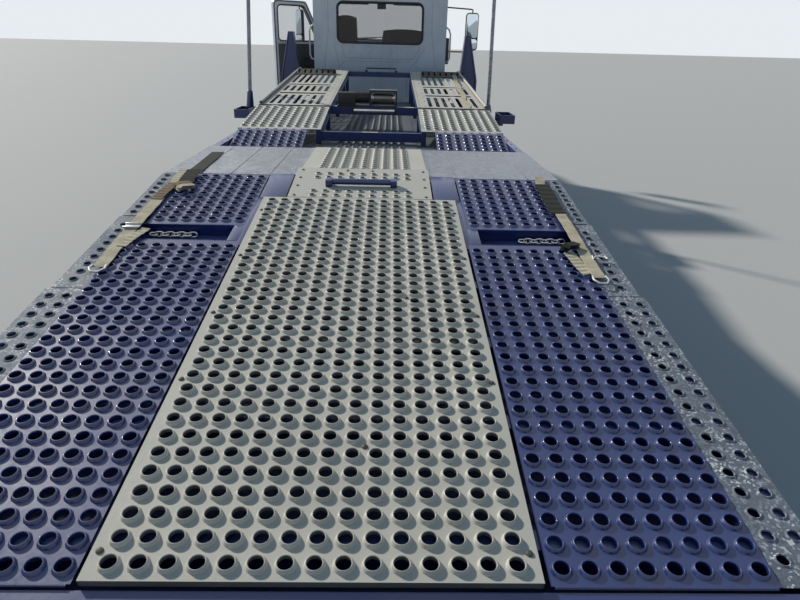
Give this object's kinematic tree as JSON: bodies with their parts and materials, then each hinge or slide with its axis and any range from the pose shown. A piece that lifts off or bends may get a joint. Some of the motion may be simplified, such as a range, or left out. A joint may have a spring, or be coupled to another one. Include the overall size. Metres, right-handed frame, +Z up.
{
  "type": "car transporter truck",
  "caption": "Flat-deck car transporter truck with punched wheel tracks, a sloping tail, tilting bonnet, steering front wheels and rolling twin rear wheels",
  "frame": {"origin": "on the ground, on the centre line, midway between the front bumper and the tail", "axes": "+X to the truck's right, +Y forward, +Z up"},
  "size_m": [3.39, 11.8, 2.9499],
  "materials": {
    "blue_paint": "royal blue gloss paint, dusty",
    "white_paint": "white gloss paint",
    "pale_paint": "pale warm grey paint on punched sheet",
    "galvanised": "spangled zinc coat",
    "black_paint": "black chassis paint",
    "cast": "dark cast metal",
    "spring_steel": "dark spring steel",
    "bright_steel": "bare steel",
    "bright_metal": "bright plated metal",
    "tyre": "dusty black tyre rubber",
    "rubber": "matt black rubber",
    "black_plastic": "grained black plastic",
    "lamp_lens": "smoked lamp lens",
    "red_lens": "red lamp lens",
    "amber_lens": "amber lamp lens",
    "seat_cloth": "dark grey woven cloth",
    "grey_trim": "dark grey moulded trim",
    "glass": "tinted safety glass",
    "mirror_glass": "mirror glass in a black case",
    "webbing": "cream polyester webbing"
  },
  "bodies": {
    "chassis": {"bumper": "bright_metal", "cab_glass": "glass", "cab_shell": "white_paint", "centre_panel": "pale_paint", "chain_trays": "blue_paint", "chains": "bright_steel", "chassis_frame": "black_paint", "cross_bars": "blue_paint", "dashboard": "grey_trim", "deck_bearers": "blue_paint", "deck_crossmembers": "blue_paint", "engine": "cast", "floor_plates": "galvanised", "front_axle": "cast", "fuel_tank": "bright_steel", "mudflaps": "rubber", "poles": "galvanised", "posts": "blue_paint", "propshaft": "black_paint", "radiator": "black_paint", "raised_tracks": "pale_paint", "rear_axle": "cast", "roof_lamps": "amber_lens", "seats": "seat_cloth", "side_rails": "blue_paint", "side_strips": "galvanised", "springs": "spring_steel", "steps": "black_paint", "straps": "webbing", "tail_lamps": "red_lens", "tail_sill": "blue_paint", "track_legs": "blue_paint", "track_plates": "pale_paint", "wheel_plates": "blue_paint", "wheel_stops": "black_paint", "winch": "black_paint"},
    "knuckle_left": {"knuckle_left": "cast"},
    "knuckle_right": {"knuckle_right": "cast"},
    "tie_rod": {"tie_rod": "cast"},
    "wheel_front_left": {"tyre_front_left": "tyre", "rim_front_left": "bright_steel"},
    "wheel_front_right": {"tyre_front_right": "tyre", "rim_front_right": "bright_steel"},
    "wheels_rear_left": {"tyres_rear_left": "tyre", "rims_rear_left": "bright_steel"},
    "wheels_rear_right": {"tyres_rear_right": "tyre", "rims_rear_right": "bright_steel"},
    "door_left": {"door_left": "white_paint", "door_glass_left": "glass", "mirror_left": "mirror_glass"},
    "door_right": {"door_right": "white_paint", "door_glass_right": "glass", "mirror_right": "mirror_glass"},
    "bonnet": {"bonnet": "white_paint", "grille": "black_plastic", "headlamps": "lamp_lens"},
    "flap_left": {"flap_left": "blue_paint"},
    "flap_right": {"flap_right": "blue_paint"},
    "hatch": {"hatch": "pale_paint"},
    "winch_drum": {"winch_drum": "bright_steel"}
  },
  "joints": [
    {"name": "steer_left", "type": "hinge", "parent": "chassis", "child": "knuckle_left", "pos_m": [-0.85, 5.06, 0.525], "axis": [0, 0, 1], "range_deg": [-32, 32]},
    {"name": "steer_right", "type": "hinge", "parent": "chassis", "child": "knuckle_right", "pos_m": [0.85, 5.06, 0.525], "axis": [0, 0, 1], "range_deg": [-32, 32]},
    {"name": "tie_rod_slide", "type": "slide", "parent": "chassis", "child": "tie_rod", "axis": [1, 0, 0], "range_m": [-0.125, 0.125]},
    {"name": "wheel_front_left_spin", "type": "hinge", "parent": "knuckle_left", "child": "wheel_front_left", "pos_m": [-1.03, 5.06, 0.525], "axis": [1, 0, 0], "continuous": true},
    {"name": "wheel_front_right_spin", "type": "hinge", "parent": "knuckle_right", "child": "wheel_front_right", "pos_m": [1.03, 5.06, 0.525], "axis": [1, 0, 0], "continuous": true},
    {"name": "wheels_rear_left_spin", "type": "hinge", "parent": "chassis", "child": "wheels_rear_left", "pos_m": [-0.91, -2.3, 0.525], "axis": [1, 0, 0], "continuous": true},
    {"name": "wheels_rear_right_spin", "type": "hinge", "parent": "chassis", "child": "wheels_rear_right", "pos_m": [0.91, -2.3, 0.525], "axis": [1, 0, 0], "continuous": true},
    {"name": "door_left_hinge", "type": "hinge", "parent": "chassis", "child": "door_left", "pos_m": [-1.015, 4.46, 1.9], "axis": [0, 0, 1], "range_deg": [-12, 53.03]},
    {"name": "door_right_hinge", "type": "hinge", "parent": "chassis", "child": "door_right", "pos_m": [1.015, 4.46, 1.9], "axis": [0, 0, 1], "range_deg": [0, 65]},
    {"name": "bonnet_tilt", "type": "hinge", "parent": "chassis", "child": "bonnet", "pos_m": [0, 5.7, 0.82], "axis": [-1, 0, 0], "range_deg": [0, 55]},
    {"name": "flap_left_hinge", "type": "hinge", "parent": "chassis", "child": "flap_left", "pos_m": [-0.8275, -1.206, 1.28], "axis": [-1, 0, 0], "range_deg": [0, 95]},
    {"name": "flap_right_hinge", "type": "hinge", "parent": "chassis", "child": "flap_right", "pos_m": [0.8275, -1.206, 1.28], "axis": [-1, 0, 0], "range_deg": [0, 95]},
    {"name": "hatch_hinge", "type": "hinge", "parent": "chassis", "child": "hatch", "pos_m": [0, -2.86422, 1.26229], "axis": [-1, 0, 0], "range_deg": [0, 80]},
    {"name": "winch_drum_spin", "type": "hinge", "parent": "chassis", "child": "winch_drum", "pos_m": [0, -0.09, 1.47], "axis": [1, 0, 0], "continuous": true}
  ],
  "couplings": [
    {"joint": "steer_right", "follows": "steer_left", "ratio": 1},
    {"joint": "tie_rod_slide", "follows": "steer_left", "m_per_rad": 0.215}
  ]
}
